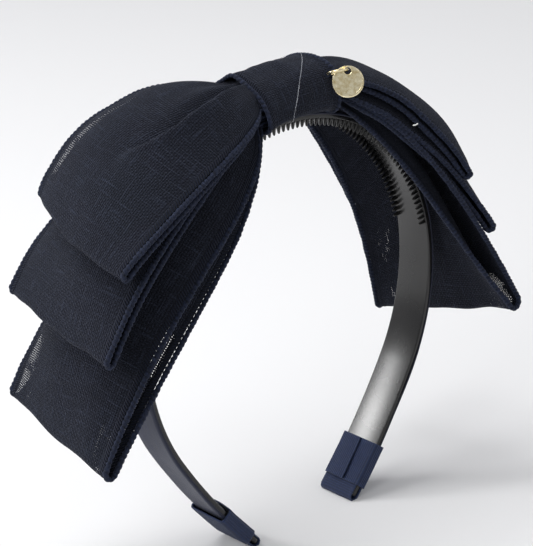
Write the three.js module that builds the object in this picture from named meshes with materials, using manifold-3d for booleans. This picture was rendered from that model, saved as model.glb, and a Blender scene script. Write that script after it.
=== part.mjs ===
import * as THREE from 'three'
import { mergeVertices } from 'three/addons/utils/BufferGeometryUtils.js'
import Module from 'manifold-3d'

// Comb headband with a three-tier linen bow. Millimetres, +Z up, X from ear to ear, +Y towards the back.

// Band: one springy strip, three tangent arcs on each side of the crown
const arcs = [{ radius: 61, length: 95 }, { radius: 75.5, length: 41.5 }, { radius: 236.8, length: 48.5 }]
const halfLength = 185
const crownWidth = 14
const tipWidth = 14.8
const plasticThickness = 1.8
const edgeRounding = 0.4
const satinThickness = 0.5
const satinHalfLength = 168
const fitGap = 0.35

// Comb teeth on the inner face
const toothPitch = 2.05
const teethEachSide = 42
const toothLength = 2.5
const toothRadius = 0.75
const toothRoot = 0.5
const toothRowY = 6

// Fabric caps on the tips
const sleeveLength = 15.5
const sleeveEnd = 181.4
const foldCover = 14
const foldReach = 1.3
const foldRounding = 0.8
const capWall = 0.6
const overlapStep = 0.5
const overlapFrom = 1.5

// Bow
const linenThickness = 0.6
const edgingRadius = 0.7
const edgingRadiusInKnot = 0.4
const knotEdgingRadius = 0.6
const knotHalfLength = 14
const knotFlare = 0.03
const gatherHalfWidth = 12.5
const openingInKnot = 0.75
const mouthX = knotHalfLength + 2.2

// Charm
const ringRadius = 3.1
const ringWire = 0.42
const discRadius = 5
const discThickness = 0.9
const discHole = 1.1
const discHoleOffset = 3.4

// Threads
const clearThreadRadius = 0.22
const clearThreadTopX = 11.5
const charmThreadRadius = 0.25
const charmStitchRadius = 1
const tackLength = 2.2

const wasm = await Module()
wasm.setup()

const group = new THREE.Group()
group.name = 'comb_headband_with_tiered_bow'

const colours = {
  plastic: { color: 0x3a3a3b, roughness: 0.28, metalness: 0 },
  satin: { color: 0x262b45, roughness: 0.38, metalness: 0 },
  grosgrain: { color: 0x232c4e, roughness: 0.75, metalness: 0 },
  linen: { color: 0x232634, roughness: 0.95, metalness: 0 },
  edging: { color: 0x1e2641, roughness: 0.85, metalness: 0 },
  gold: { color: 0xd6bf86, roughness: 0.25, metalness: 1 },
  nylon: { color: 0xc9cbd0, roughness: 0.2, metalness: 0 },
  whiteThread: { color: 0xf0f0ee, roughness: 0.7, metalness: 0 }
}

const vector = (x, y, z) => new THREE.Vector3(x, y, z)
const mix = (a, b, t) => a + (b - a) * t

function add (name, geometry, finish) {
  const mesh = new THREE.Mesh(geometry, new THREE.MeshStandardMaterial(finish))
  mesh.name = name
  group.add(mesh)
}

// Moves every vertex through a mapping from straight (x, y, z) to its place on the object
function bend (geometry, place) {
  const bent = geometry.clone()
  const positions = bent.attributes.position
  for (let i = 0; i < positions.count; i++) {
    const point = place(positions.getX(i), positions.getY(i), positions.getZ(i))
    positions.setXYZ(i, point.x, point.y, point.z)
  }
  bent.deleteAttribute('normal')
  bent.deleteAttribute('uv')
  return mergeVertices(bent, 1e-4)
}

function toSolid (geometry) {
  const plain = geometry.clone()
  plain.deleteAttribute('normal')
  plain.deleteAttribute('uv')
  const merged = mergeVertices(plain, 1e-4)
  return new wasm.Manifold(new wasm.Mesh({
    numProp: 3,
    vertProperties: new Float32Array(merged.attributes.position.array),
    triVerts: new Uint32Array(merged.index.array)
  }))
}

function fromSolid (solid) {
  const mesh = solid.getMesh()
  const geometry = new THREE.BufferGeometry()
  geometry.setAttribute('position', new THREE.BufferAttribute(new Float32Array(mesh.vertProperties), 3))
  geometry.setIndex(new THREE.BufferAttribute(new Uint32Array(mesh.triVerts), 1))
  return geometry
}

function extrude (points, depth, steps, hole) {
  const shape = new THREE.Shape(points.map(([x, y]) => new THREE.Vector2(x, y)))
  if (hole) {
    shape.holes.push(new THREE.Path(hole.map(([x, y]) => new THREE.Vector2(x, y))))
  }
  return new THREE.ExtrudeGeometry(shape, { depth, steps, bevelEnabled: false })
}

const circlePoints = (radius, sides) => Array.from({ length: sides }, (_, i) => {
  const angle = (i / sides) * Math.PI * 2
  return [radius * Math.cos(angle), radius * Math.sin(angle)]
})

// ---- Band ----

// Point and slope of the band's inner face at a signed length from the crown
function bandLine (length) {
  let left = Math.abs(length)
  let slope = 0
  let x = 0
  let z = 0
  for (const [i, arc] of arcs.entries()) {
    const used = i === arcs.length - 1 ? left : Math.min(left, arc.length)
    const next = slope + used / arc.radius
    x += arc.radius * (Math.sin(next) - Math.sin(slope))
    z += arc.radius * (Math.cos(next) - Math.cos(slope))
    slope = next
    left -= used
  }
  const side = length < 0 ? -1 : 1
  return { x: x * side, z, slope: slope * side }
}

// across: along Y, out: outwards from the inner face, along: length from the crown
function onBand (across, out, along) {
  const line = bandLine(along)
  return vector(line.x + out * Math.sin(line.slope), across, line.z + out * Math.cos(line.slope))
}

const widthAt = along => mix(crownWidth, tipWidth, Math.min(1, Math.abs(along) / halfLength))

// A strip of the given section, its width following the band's
function strip (section, from, to, steps) {
  const straight = extrude(section, to - from, steps)
  return bend(straight, (x, y, z) => onBand(x * widthAt(from + z) / 2, y, from + z))
}

const flatShare = 0.94
const plasticSection = [
  [-1, edgeRounding], [-flatShare, 0], [flatShare, 0], [1, edgeRounding],
  [1, plasticThickness - edgeRounding], [flatShare, plasticThickness],
  [-flatShare, plasticThickness], [-1, plasticThickness - edgeRounding]
]
let core = toSolid(strip(plasticSection, -halfLength, halfLength, 54))
for (const row of [-1, 1]) {
  for (let i = -teethEachSide; i < teethEachSide; i++) {
    const along = (i + 0.5) * toothPitch
    const tooth = new THREE.CylinderGeometry(toothRadius, 0, toothLength + toothRoot, 4).rotateY(Math.PI / 4)
    const placed = bend(tooth, (x, y, z) => {
      const out = y + toothRoot - (toothLength + toothRoot) / 2
      return onBand(row * toothRowY + x, out, along + z)
    })
    core = core.add(toSolid(placed))
  }
}
add('band_core', fromSolid(core), colours.plastic)

const satinStart = plasticThickness + fitGap
const satinTop = satinStart + satinThickness
const satinShare = 0.97
const satinSection = [
  [-satinShare, satinStart], [satinShare, satinStart], [satinShare, satinTop], [-satinShare, satinTop]
]
add('satin_cover', strip(satinSection, -satinHalfLength, satinHalfLength, 46), colours.satin)

// Caps: a fold over the end of the strip, then a sleeve round both
const foldInner = -fitGap - capWall
const foldOuter = satinStart + capWall
const sleeveInner = foldInner - fitGap
const sleeveOuter = foldOuter + fitGap
const foldStart = halfLength - foldCover
const foldEnd = halfLength + foldReach
const cornerCut = 0.2
for (const [side, label] of [[-1, 'left'], [1, 'right']]) {
  const channel = [
    [foldStart, foldInner], [foldEnd - foldRounding, foldInner], [foldEnd, foldInner + foldRounding],
    [foldEnd, foldOuter - foldRounding], [foldEnd - foldRounding, foldOuter], [foldStart, foldOuter],
    [foldStart, satinStart], [halfLength + fitGap, satinStart],
    [halfLength + fitGap, -fitGap], [foldStart, -fitGap]
  ]
  const foldWidth = tipWidth - cornerCut
  const fold = extrude(channel, foldWidth, 1)
  const foldPlace = (x, y, z) => onBand(side * (foldWidth / 2 - z), y, side * x)
  add(`${label}_tip_fold`, bend(fold, foldPlace), colours.grosgrain)

  const half = tipWidth / 2 + fitGap
  const wall = half + capWall
  const outline = [
    [-wall, sleeveInner - cornerCut], [cornerCut - half, sleeveInner - capWall],
    // The overlap of the wound ribbon stands proud on the inner face
    [overlapFrom, sleeveInner - capWall], [overlapFrom + fitGap, sleeveInner - capWall - overlapStep],
    [half - cornerCut, sleeveInner - capWall - overlapStep], [wall, sleeveInner - cornerCut],
    [wall, sleeveOuter + cornerCut], [half - cornerCut, sleeveOuter + capWall],
    [cornerCut - half, sleeveOuter + capWall], [-wall, sleeveOuter + cornerCut]
  ]
  const inside = [[-half, sleeveInner], [-half, sleeveOuter], [half, sleeveOuter], [half, sleeveInner]]
  const sleeve = extrude(outline, sleeveLength, 3, inside)
  const sleevePlace = (x, y, z) => onBand(-side * x, y, side * (sleeveEnd - z))
  add(`${label}_tip_sleeve`, bend(sleeve, sleevePlace), colours.grosgrain)
}

// ---- Bow ----

// Each tier is one ribbon lying as a flat belt: a loop to the left, a loop to the right, pinched by the knot.
// front, crest and back are the edges and the middle line of a loop, as four points of a Bezier curve.
const knotRows = {
  upper: { front: 10.4, crest: 15.4, back: 10.4 },
  middle: { front: 6.9, crest: 11, back: 7 },
  lower: { front: 3.9, crest: 6.8, back: 3.9 }
}
const tiers = {
  upper: {
    left: {
      front: [[-31, -19.5, 5], [-60, -26, -6.5], [-84, -28, -19.5]],
      crest: [[-36, 0, 20], [-64, 1, 9], [-78, 0, -14]],
      back: [[-32, 25, 18], [-58, 30, 4.5], [-69.5, 28, -10.5]]
    },
    right: {
      front: [[28, -19, 12.5], [50, -23, -7.5], [61.5, -25, -28.5]],
      crest: [[28.5, 0, 12.9], [55.5, 0, 5.4], [69, 1, -23]],
      back: [[28, 20, 9.5], [51, 26, -1], [62, 27, -27]]
    },
    bulge: { edge: 0.3, crest: 0.8 },
    fold: 1.3
  },
  middle: {
    left: {
      front: [[-38, -18, -1.5], [-66, -26, -20.5], [-92.5, -28, -44]],
      crest: [[-44, 0, 12.5], [-76, 1, -12.5], [-89.5, 0, -41.5]],
      back: [[-38, 24, 8], [-68, 30, -14], [-84.8, 28, -39.5]]
    },
    right: {
      front: [[27, -19, 5.5], [53, -23.5, -19.5], [71, -25.5, -50]],
      crest: [[34, 0, 9.5], [64, 0, -9], [75, 1, -48]],
      back: [[31, 19, 2.5], [53, 26, -16], [66.5, 27.5, -54]]
    },
    bulge: { edge: 0.3, crest: 0.3 },
    fold: 1.3
  },
  lower: {
    left: {
      front: [[-26, -17, -19], [-62, -26, -43], [-95.4, -28, -79]],
      crest: [[-42, 0, 7], [-76, 1, -28], [-92.5, 0, -76.5]],
      back: [[-33, 20, -6], [-71, 28, -36], [-88, 28, -73.6]]
    },
    right: {
      front: [[28, -17, -10], [56, -22, -37], [80.2, -27.5, -79.6]],
      crest: [[41, 0, 5.6], [70, 0, -25.7], [77, 0, -86]],
      back: [[36, 18, -11], [62, 27, -44], [70, 28, -93]]
    },
    bulge: { edge: 2.7, crest: 0.3 },
    fold: 2
  }
}

// Stations along one layer of a loop, from the middle of the knot (0) to the fold's outermost line (1)
const mouth = 0.14
const foldStartShare = 0.86
const stations = [0, 0.07, mouth, 0.19, 0.26, 0.35, 0.45, 0.56, 0.68, 0.78, foldStartShare, 0.91, 0.95, 1]
const layerSteps = stations.length - 1
const ribbonSteps = layerSteps * 4

// Turns a length along the belt, in steps, into its layer and its share of the way out to the fold
function stationAt (steps) {
  const layer = Math.min(3, Math.floor(steps / layerSteps))
  const inLayer = steps - layer * layerSteps
  const outwards = layer % 2 === 0
  const place = outwards ? inLayer : layerSteps - inLayer
  const low = Math.min(Math.floor(place), layerSteps - 1)
  return {
    side: layer < 2 ? 'right' : 'left',
    level: layer === 0 || layer === 3 ? -1 : 1,
    outward: mix(stations[low], stations[low + 1], place - low)
  }
}

function bezier (points, t) {
  const r = 1 - t
  const weights = [r * r * r, 3 * r * r * t, 3 * r * t * t, t * t * t]
  return points.reduce((sum, p, i) => sum.addScaledVector(vector(...p), weights[i]), vector(0, 0, 0))
}

// Middle surface of a loop: t is 0 at the knot's mouth and 1 at the fold, across runs from -1 (front) to 1 (back)
function middleSurface (tierName, side, t, across) {
  const rows = tiers[tierName][side]
  const sign = side === 'left' ? -1 : 1
  const point = vector(0, 0, 0)
  const rise = Math.abs(across) ** 2.6
  const shares = { front: (rise - across) / 2, crest: 1 - rise, back: (rise + across) / 2 }
  const rowY = { front: -gatherHalfWidth, crest: 0, back: gatherHalfWidth }
  for (const row of ['front', 'crest', 'back']) {
    const start = [sign * mouthX, rowY[row], knotRows[tierName][row]]
    const onRow = bezier([start, ...rows[row]], Math.max(t, 0))
    if (t < 0) {
      onRow.x += sign * t * mouthX
    }
    point.addScaledVector(onRow, shares[row])
  }
  return point
}

function surfaceFrame (tierName, side, t, across) {
  const step = 0.01
  const sign = side === 'left' ? -1 : 1
  const from = middleSurface(tierName, side, t - step, across)
  const along = middleSurface(tierName, side, t + step, across).sub(from).normalize()
  const left = middleSurface(tierName, side, t, across - step)
  const width = middleSurface(tierName, side, t, across + step).sub(left).normalize()
  const normal = along.clone().cross(width).multiplyScalar(sign).normalize()
  return { along, width, normal }
}

// Half the distance between the two layers of a loop
function opening (tier, t, across) {
  const wide = mix(tier.bulge.crest, tier.bulge.edge, across * across)
  return mix(openingInKnot, tier.fold, t) + wide * Math.sin(Math.PI * t ** 0.8)
}

// The belt runs from the middle of the knot along the under layer, round the right fold, back over the top
// layer to the knot, then over the top of the left loop and home underneath. across runs from -1 to 1.
function ribbonPoint (tierName, steps, across, lift) {
  const tier = tiers[tierName]
  const { side, level, outward } = stationAt(steps)
  const pastMouth = Math.min(1, (outward - mouth) / (foldStartShare - mouth))
  const t = outward < mouth ? outward / mouth - 1 : pastMouth
  const turn = Math.max(0, (outward - foldStartShare) / (1 - foldStartShare)) * Math.PI / 2
  const frame = surfaceFrame(tierName, side, Math.min(t, 0.99), across)
  const reach = opening(tier, Math.max(t, 0), across) + lift
  const facing = frame.normal.clone().multiplyScalar(level * Math.cos(turn))
  facing.addScaledVector(frame.along, Math.sin(turn))
  const point = middleSurface(tierName, side, t, across).addScaledVector(facing, reach)
  return { point, facing, width: frame.width, outward }
}

const fullEdgingShare = 0.3
const columns = [-1, -0.62, -0.2, 0.24, 0.64, 1]
const linenSection = [
  ...columns.map(across => [across, -linenThickness / 2]),
  ...columns.toReversed().map(across => [across, linenThickness / 2])
]
// The belt's two ends stop short of each other under the knot
const beltSeam = 0.2
const alongBelt = step => beltSeam + Math.round(step) / ribbonSteps * (ribbonSteps - beltSeam * 2)

for (const tierName of Object.keys(tiers)) {
  const belt = bend(extrude(linenSection, ribbonSteps, ribbonSteps), (across, lift, along) =>
    ribbonPoint(tierName, alongBelt(along), -across, lift).point)
  add(`${tierName}_ribbon`, belt, colours.linen)

  for (const [edge, label] of [[-1, 'front'], [1, 'back']]) {
    const rope = extrude(circlePoints(1, 5), ribbonSteps, ribbonSteps)
    const placed = bend(rope, (a, b, along) => {
      const { point, facing, width, outward } = ribbonPoint(tierName, alongBelt(along), edge, 0)
      const full = THREE.MathUtils.smoothstep(outward, mouth, fullEdgingShare)
      const radius = mix(edgingRadiusInKnot, edgingRadius, full)
      point.addScaledVector(width, edge * (radius + fitGap) - a * radius)
      return point.addScaledVector(facing, b * radius)
    })
    add(`${tierName}_${label}_edging`, placed, colours.edging)
  }
}

// Knot: a wrap round the gathered ribbons, resting over the crown
const wrapOutline = [
  [0, 2.95], [8, 2.95], [10.6, 0.6], [13.6, -0.6], [15.4, 1.2], [15.8, 6], [15.2, 11], [13, 15.2], [9, 18.2],
  [4, 19.4], [-4, 19.3], [-9, 17.7], [-13, 14.6], [-15.2, 10.4], [-15.8, 6], [-15.4, 1.2], [-13.6, -0.6],
  [-10.6, 0.6], [-8, 2.95]
]
// Offsets a closed outline by a distance to its outside
function offsetOutline (points, distance) {
  return points.map(([x, y], i) => {
    const before = points[(i + points.length - 1) % points.length]
    const after = points[(i + 1) % points.length]
    const direction = new THREE.Vector2(after[0] - before[0], after[1] - before[1]).normalize()
    return [x + direction.y * distance, y - direction.x * distance]
  })
}
const wrapInside = offsetOutline(wrapOutline, -linenThickness).toReversed()
const wrap = extrude(wrapOutline, knotHalfLength * 2, 4, wrapInside)
// The mouths stand a little wider than the waist
const waistHeight = 5
const flared = (x, across, up) => {
  const flare = 1 + knotFlare * (x / knotHalfLength) ** 2
  return vector(x, across * flare, up > waistHeight ? up * flare : up)
}
add('knot_wrap', bend(wrap, (across, up, along) => flared(along - knotHalfLength, across, up)), colours.linen)

const curveTension = 0.3
const closedCurve = points => new THREE.CatmullRomCurve3(points, false, 'catmullrom', curveTension)
const ropeEndGap = 0.004
for (const [side, label] of [[-1, 'left'], [1, 'right']]) {
  const path = offsetOutline(wrapOutline, fitGap - 0.1)
    .map(([across, up]) => flared(knotHalfLength, across, up).setX(0))
  const curve = closedCurve([...path, path[0]])
  const rope = extrude(circlePoints(knotEdgingRadius, 5), 1, 36)
  const placed = bend(rope, (a, b, along) => {
    const t = mix(ropeEndGap, 1 - ropeEndGap, along)
    const centre = curve.getPoint(t)
    const tangent = curve.getTangent(t)
    const outward = vector(0, tangent.z, -tangent.y)
    const ropeX = side * (knotHalfLength + knotEdgingRadius + fitGap)
    return centre.addScaledVector(outward, a).add(vector(ropeX - b, 0, 0))
  })
  add(`knot_${label}_edging`, placed, colours.edging)
}

// Clear thread slung round the knot and the band, leaning towards the right at the top
const threadLoop = [
  [-8.6, -1.2], [-14.2, -1.4], [-16.5, 0.6], [-16.9, 6], [-16.2, 11], [-14, 15.4], [-9.6, 19.1], [-4.4, 20.9],
  [0, 21.2], [4.4, 21.1], [9.6, 19.6], [14, 16.2], [16.3, 11.4], [16.9, 6], [16.5, 0.6], [14.2, -1.4], [8.6, -1.2]
]
const underBand = -0.6
const knotHeight = 20
const threadCurve = closedCurve([
  vector(0, 0, underBand), ...threadLoop.map(([y, z]) => vector(0, y, z)), vector(0, 0.4, underBand)
])
const thread = extrude(circlePoints(clearThreadRadius, 5), 1, 44)
add('clear_thread', bend(thread, (a, b, along) => {
  const centre = threadCurve.getPoint(along)
  const tangent = threadCurve.getTangent(along)
  const outward = vector(0, tangent.z, -tangent.y)
  const lean = mix(-toothPitch, clearThreadTopX, THREE.MathUtils.clamp(centre.z / knotHeight, 0, 1))
  return centre.addScaledVector(outward, a).add(vector(lean - b, 0, 0))
}), colours.nylon)

// ---- Charm ----

const ringCentre = vector(12.7, -17.3, 16.3)
const ringOut = vector(0.702, -0.689, 0.179).normalize()
const ringNormal = vector(0.16, 0.398, 0.903).normalize()
const ringSide = ringNormal.clone().cross(ringOut).normalize()
ringNormal.copy(ringOut).cross(ringSide).normalize()

const onRing = (radial, angle) => ringCentre.clone()
  .addScaledVector(ringOut, radial * Math.cos(angle))
  .addScaledVector(ringSide, radial * Math.sin(angle))

const ringSection = circlePoints(ringWire, 6).map(([x, y]) => new THREE.Vector2(ringRadius + x, y))
const ringLathe = new THREE.LatheGeometry([...ringSection, ringSection[0]], 20)
add('jump_ring', bend(ringLathe, (x, y, z) => {
  const point = ringCentre.clone().addScaledVector(ringOut, x)
  return point.addScaledVector(ringSide, z).addScaledVector(ringNormal, -y)
}), colours.gold)

// The disc hangs from the ring's outer end, leaning back by a few degrees against the bow
const discNormal = vector(-0.64, -0.73, 0.24).normalize()
const discUp = vector(0, 0, 1).addScaledVector(discNormal, -discNormal.z).normalize()
const discAcross = discUp.clone().cross(discNormal).normalize()
const hangPoint = onRing(ringRadius, 0)
const holeCentre = hangPoint.clone().addScaledVector(discUp, ringWire + fitGap + 0.01 - discHole)
const discCentre = holeCentre.clone().addScaledVector(discUp, -discHoleOffset)
const disc = extrude(circlePoints(discRadius, 28), discThickness, 1,
  circlePoints(discHole, 12).map(([x, y]) => [x, y + discHoleOffset]))
add('charm_disc', bend(disc, (x, y, z) => discCentre.clone()
  .addScaledVector(discAcross, x).addScaledVector(discUp, y).addScaledVector(discNormal, z - discThickness / 2)
), colours.gold)

// Sewing thread that holds the ring to the knot's right edge
const stitchCentre = onRing(ringRadius, Math.PI)
const stitch = extrude(circlePoints(charmThreadRadius, 5), 1, 16)
const stitchGap = 0.02
add('charm_stitch', bend(stitch, (a, b, along) => {
  const angle = mix(stitchGap, 1 - stitchGap, along) * Math.PI * 2
  const outward = ringOut.clone().multiplyScalar(Math.cos(angle)).addScaledVector(ringNormal, Math.sin(angle))
  return stitchCentre.clone().addScaledVector(outward, charmStitchRadius + a).addScaledVector(ringSide, b)
}), colours.edging)

// Tacking stitch across the front edges of the right loops
const tackStart = vector(37.2, -25.1, -6)
const tack = extrude(circlePoints(charmThreadRadius, 5), tackLength, 2)
const tackPlace = (a, b, along) => vector(along, a, b).add(tackStart)
add('tacking_stitch', bend(tack, tackPlace), colours.whiteThread)

// ---- Stand the object on z = 0, centred ----

group.updateMatrixWorld(true)
const box = new THREE.Box3().setFromObject(group)
const centre = box.getCenter(vector(0, 0, 0))
for (const mesh of group.children) {
  mesh.geometry.translate(-centre.x, -centre.y, -box.min.z)
  mesh.geometry.computeVertexNormals()
}

export default group
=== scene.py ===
import math

import bmesh
import bpy
import numpy as np
from mathutils import Matrix, Vector


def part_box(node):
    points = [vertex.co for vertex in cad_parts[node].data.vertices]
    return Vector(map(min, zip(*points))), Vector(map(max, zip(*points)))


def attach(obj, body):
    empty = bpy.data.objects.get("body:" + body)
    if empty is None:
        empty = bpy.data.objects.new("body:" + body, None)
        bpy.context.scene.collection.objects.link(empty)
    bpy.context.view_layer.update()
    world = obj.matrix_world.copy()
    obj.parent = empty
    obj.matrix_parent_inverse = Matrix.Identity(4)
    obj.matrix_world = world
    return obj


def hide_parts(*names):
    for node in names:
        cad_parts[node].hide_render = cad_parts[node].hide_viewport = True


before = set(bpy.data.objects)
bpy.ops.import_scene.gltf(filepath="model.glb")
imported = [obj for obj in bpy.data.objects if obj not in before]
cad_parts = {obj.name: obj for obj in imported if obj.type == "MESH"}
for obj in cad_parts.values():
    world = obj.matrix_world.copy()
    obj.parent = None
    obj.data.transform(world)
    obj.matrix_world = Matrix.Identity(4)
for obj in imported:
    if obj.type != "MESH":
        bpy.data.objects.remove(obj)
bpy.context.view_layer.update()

mm = 0.001

# Everything is worked out in millimetres from the crown, the middle of the band's inner face at the top.
# X runs from ear to ear, Y towards the back of the head, Z up.
band = {
    "arcs": ((61, 95), (75.5, 41.5), (236.8, 48.5)),   # radius and length, from the crown down to a tip
    "halfLength": 185,
    "crownWidth": 14,
    "tipWidth": 14.8,
    "thickness": 1.8,
    "edgeRounding": 0.45,
}
coreLow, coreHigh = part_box("band_core")
crown = np.array([
    (coreLow.x + coreHigh.x) / 2 / mm,
    (coreLow.y + coreHigh.y) / 2 / mm,
    coreHigh.z / mm - band["thickness"],
])


def mix(a, b, share):
    return a + (b - a) * share


def smooth(low, high, value):
    share = np.clip((value - low) / (high - low), 0, 1)
    return share * share * (3 - 2 * share)


def unit(vectors):
    return vectors / np.maximum(np.linalg.norm(vectors, axis=-1, keepdims=True), 1e-9)


def softNoise(u, v, size, seed, waves=7):
    # a gentle, repeatable unevenness between about -1 and 1, with bumps of the given size
    rng = np.random.default_rng(seed)
    total = np.zeros(np.broadcast(u, v).shape)
    for _ in range(waves):
        heading, phase, stretch = rng.uniform(0, math.tau), rng.uniform(0, math.tau), rng.uniform(0.7, 1.6)
        distance = u * math.cos(heading) + v * math.sin(heading)
        total += np.sin(distance * math.tau * stretch / (2 * size) + phase)
    return total / waves ** 0.5 / 1.2


def through(points, count, closed=False):
    # a smooth line through given points, at equal steps
    points = np.array(points, float)
    if closed:
        padded = np.vstack([points[-1], points, points[0], points[1]])
    else:
        padded = np.vstack([2 * points[0] - points[1], points, 2 * points[-1] - points[-2]])
    fine = []
    for i in range(1, len(padded) - 2):
        a, b, c, d = padded[i - 1:i + 3]
        for t in np.linspace(0, 1, 24, endpoint=False):
            fine.append(0.5 * (2 * b + (c - a) * t + (2 * a - 5 * b + 4 * c - d) * t ** 2
                               + (3 * b - a - 3 * c + d) * t ** 3))
    fine.append(padded[-2])
    return evenly(np.array(fine), count)


def lengthsAlong(line):
    # how far each point lies along a line
    return np.concatenate([[0], np.cumsum(np.linalg.norm(np.diff(line, axis=0), axis=1))])


def readAt(places, run, line):
    return np.stack([np.interp(places, run, line[:, k]) for k in range(line.shape[1])], 1)


def evenly(line, count):
    run = lengthsAlong(line)
    return readAt(np.linspace(0, run[-1], count), run, line)


def listed(*parts):
    # grids of single values as one list of points
    return np.stack(np.broadcast_arrays(*parts), -1).reshape(-1, 3)


def toMesh(name, points, faces, cloth=None):
    mesh = bpy.data.meshes.new(name)
    mesh.from_pydata(((np.asarray(points) + crown) * mm).tolist(), [], faces)
    mesh.polygons.foreach_set("use_smooth", [True] * len(mesh.polygons))
    if cloth is not None:
        # where each point lies on the cloth: across, along and from the nearest edge
        attribute = mesh.attributes.new("cloth", "FLOAT_VECTOR", "POINT")
        attribute.data.foreach_set("vector", np.asarray(cloth, np.float32).ravel())
    mesh.update()
    made = bpy.data.objects.new(name, mesh)
    bpy.context.scene.collection.objects.link(made)
    return made


def clothPiece(name, top, bottom, places, closeRows=False, under=(1, 1, 1)):
    # cloth with an upper and a lower face; under turns the upper face's places into the lower one's
    points, faces = shell(top, bottom, closeRows)
    return fixNormals(toMesh(name, points, faces, np.concatenate([places, places * under])))


def finishPiece(made, material, nodes, body="headband"):
    made.data.materials.append(material)
    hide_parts(*nodes)
    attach(made, body)
    return made


def gridFaces(rows, columns, closeRows=False, closeColumns=False, start=0, flip=False):
    i = np.arange(rows if closeRows else rows - 1)[:, None]
    j = np.arange(columns if closeColumns else columns - 1)[None, :]
    nextI, nextJ = (i + 1) % rows, (j + 1) % columns
    quads = np.stack(np.broadcast_arrays(i * columns + j, i * columns + nextJ,
                                         nextI * columns + nextJ, nextI * columns + j), -1)
    quads = quads.reshape(-1, 4) + start
    return (quads[:, ::-1] if flip else quads).tolist()


def shell(top, bottom, closeRows=False):
    # two grids of the same layout joined into one closed piece of cloth
    rows, columns = top.shape[:2]
    half = rows * columns
    faces = gridFaces(rows, columns, closeRows) + gridFaces(rows, columns, closeRows, start=half, flip=True)
    for first in (0, columns - 1):
        line = list(range(first, half, columns))
        for a, b in zip(line, line[1:] + (line[:1] if closeRows else [])):
            quad = [a, b, half + b, half + a]
            faces.append(quad if first == 0 else quad[::-1])
    if not closeRows:
        for row in (0, rows - 1):
            for a in range(row * columns, (row + 1) * columns - 1):
                quad = [a, a + 1, half + a + 1, half + a]
                faces.append(quad if row == 0 else quad[::-1])
    return np.concatenate([top.reshape(-1, 3), bottom.reshape(-1, 3)]), faces


def tube(rings):
    # rings: steps x sides x 3, closed by a flat face at either end
    steps, sides = rings.shape[:2]
    faces = gridFaces(steps, sides, closeColumns=True)
    faces.append(list(range(sides)))
    faces.append(list(range((steps - 1) * sides, steps * sides))[::-1])
    return rings.reshape(-1, 3), faces


def fixNormals(made):
    work = bmesh.new()
    work.from_mesh(made.data)
    bmesh.ops.recalc_face_normals(work, faces=work.faces)
    work.to_mesh(made.data)
    work.free()
    made.data.update()
    return made


class Wire:
    # a socket that takes part in plain arithmetic
    def __init__(self, finish, socket):
        self.finish = finish
        self.socket = socket

    def maths(self, operation, *values):
        return self.finish.add("ShaderNodeMath", {"operation": operation}, dict(enumerate(values)))

    def __add__(self, other):
        return self.maths("ADD", self, other)

    def __sub__(self, other):
        return self.maths("SUBTRACT", self, other)

    def __rsub__(self, other):
        return self.maths("SUBTRACT", other, self)

    def __mul__(self, other):
        return self.maths("MULTIPLY", self, other)

    def __lt__(self, other):
        return self.maths("LESS_THAN", self, other)

    def __gt__(self, other):
        return self.maths("GREATER_THAN", self, other)

    def __abs__(self):
        return self.maths("ABSOLUTE", self)

    def sine(self):
        return self.maths("SINE", self)

    def larger(self, other):
        return self.maths("MAXIMUM", self, other)

    def clamped(self, low, high):
        return self.finish.add("ShaderNodeMapRange", {"interpolation_type": "SMOOTHSTEP"},
                               {"Value": self, "From Min": low, "From Max": high})


class Finish:
    def __init__(self, name, **shaderValues):
        self.material = bpy.data.materials.new(name)
        self.material.use_nodes = True
        self.nodes = self.material.node_tree.nodes
        self.links = self.material.node_tree.links
        self.shader = next(n for n in self.nodes if n.type == "BSDF_PRINCIPLED")
        self.set(shaderValues)

    def plug(self, socket, value):
        if isinstance(value, Wire):
            self.links.new(value.socket, socket)
        else:
            socket.default_value = value

    def add(self, kind, settings, values, output=0):
        made = self.nodes.new(kind)
        for key, value in settings.items():
            setattr(made, key, value)
        for key, value in values.items():
            self.plug(made.inputs[key], value)
        return Wire(self, made.outputs[output])

    def set(self, values):
        for key, value in values.items():
            self.plug(self.shader.inputs[key], value)

    def clothPlace(self):
        # the place on the cloth, whole and in its three parts
        place = self.add("ShaderNodeAttribute", {"attribute_name": "cloth"}, {}, "Vector")
        parts = self.nodes.new("ShaderNodeSeparateXYZ")
        self.plug(parts.inputs[0], place)
        return place, *(Wire(self, parts.outputs[k]) for k in range(3))

    def objectPlace(self):
        return self.add("ShaderNodeTexCoord", {}, {}, "Object")

    def joined(self, x, y, z):
        return self.add("ShaderNodeCombineXYZ", {}, {0: x, 1: y, 2: z})

    def noise(self, place, scale, detail=2, roughness=0.5):
        return self.add("ShaderNodeTexNoise", {},
                        {"Vector": place, "Scale": scale, "Detail": detail, "Roughness": roughness})

    def blend(self, share, first, second):
        made = self.nodes.new("ShaderNodeMix")
        made.data_type = "RGBA"
        self.plug(made.inputs[0], share)
        self.plug(made.inputs[6], first)
        self.plug(made.inputs[7], second)
        return Wire(self, made.outputs[2])

    def bump(self, height, distance, strength):
        values = {"Height": height, "Distance": distance, "Strength": strength}
        self.set({"Normal": self.add("ShaderNodeBump", {}, values)})


def tone(red, green, blue):
    # a screen colour from 0 to 255 as the shader wants it
    def channel(value):
        share = value / 255
        return share / 12.92 if share < 0.04 else ((share + 0.055) / 1.055) ** 2.4
    return (channel(red), channel(green), channel(blue), 1)


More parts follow.
